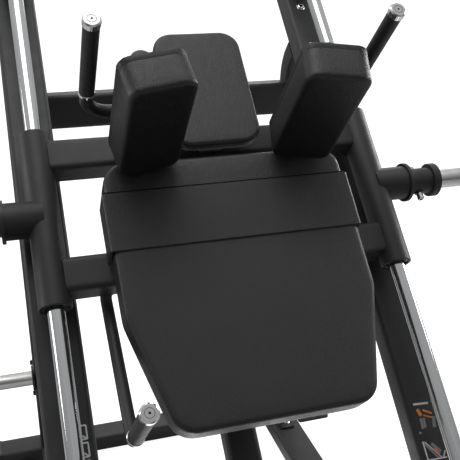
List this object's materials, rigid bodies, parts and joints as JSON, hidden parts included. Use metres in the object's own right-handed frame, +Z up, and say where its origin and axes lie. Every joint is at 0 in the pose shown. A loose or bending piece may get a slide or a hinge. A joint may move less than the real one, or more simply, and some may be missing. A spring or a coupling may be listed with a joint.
{
  "type": "hack squat machine",
  "caption": "Plate-loaded inclined squat machine: a padded carriage on two guide rods, with a release lever and a foot plate.",
  "frame": {"origin": "centre of the footprint, on the floor", "axes": "+Z up, +Y from the foot plate to the rear legs, +X to the right of someone looking along +Y"},
  "size_m": [1.7, 2.25, 1.7812],
  "materials": {
    "painted_frame": "satin powder coat",
    "chrome": "polished hard chrome",
    "stainless": "fine turned finish",
    "zinc": "zinc plated",
    "rubber": "matte moulded rubber",
    "leather": "grained black upholstery vinyl over foam",
    "board": "matte black",
    "tread": "matte textured"
  },
  "bodies": {
    "frame": {"left_rail": "painted_frame", "left_rear_leg": "painted_frame", "left_base_tube": "painted_frame", "left_foot_gusset": "painted_frame", "left_lower_rod_clamp": "painted_frame", "left_upper_rod_clamp": "painted_frame", "rear_left_floor_plate": "painted_frame", "front_left_floor_plate": "painted_frame", "left_guide_rod": "chrome", "left_lower_bumper": "rubber", "left_upper_bumper": "rubber", "left_storage_horn": "stainless", "right_rail": "painted_frame", "right_rear_leg": "painted_frame", "right_base_tube": "painted_frame", "right_foot_gusset": "painted_frame", "right_lower_rod_clamp": "painted_frame", "right_upper_rod_clamp": "painted_frame", "rear_right_floor_plate": "painted_frame", "front_right_floor_plate": "painted_frame", "right_guide_rod": "chrome", "right_lower_bumper": "rubber", "right_upper_bumper": "rubber", "right_storage_horn": "stainless", "rear_foot_tube": "painted_frame", "front_foot_tube": "painted_frame", "middle_foot_tube": "painted_frame", "upper_cross_tube": "painted_frame", "spine_tube": "painted_frame", "catch_block": "zinc", "foot_plate": "tread"},
    "carriage": {"left_sleeve": "painted_frame", "left_shoulder_post": "painted_frame", "left_handle_bar": "painted_frame", "left_horn_socket": "painted_frame", "left_lower_bearing": "chrome", "left_upper_bearing": "chrome", "left_shoulder_pad": "leather", "left_handle_grip": "rubber", "left_horn_bar": "stainless", "right_sleeve": "painted_frame", "right_shoulder_post": "painted_frame", "right_handle_bar": "painted_frame", "right_horn_socket": "painted_frame", "right_lower_bearing": "chrome", "right_upper_bearing": "chrome", "right_shoulder_pad": "leather", "right_handle_grip": "rubber", "right_horn_bar": "stainless", "upper_carriage_tube": "painted_frame", "lower_carriage_tube": "painted_frame", "back_pad": "leather", "head_pad": "leather", "back_board": "board", "head_bracket": "board"},
    "release_lever": {"release_bar": "painted_frame", "catch_pawl": "zinc", "release_grip": "rubber"}
  },
  "joints": [
    {"name": "sled_slide", "type": "slide", "parent": "frame", "child": "carriage", "axis": [0, 0.7071, 0.7071], "range_m": [0, 0.45]},
    {"name": "release_lever_hinge", "type": "hinge", "parent": "carriage", "child": "release_lever", "pos_m": [0, 0.254, 1.02973], "axis": [1, 0, 0], "range_deg": [0, 22], "stiffness_Nm_per_rad": 14, "springref_deg": -57.3}
  ]
}
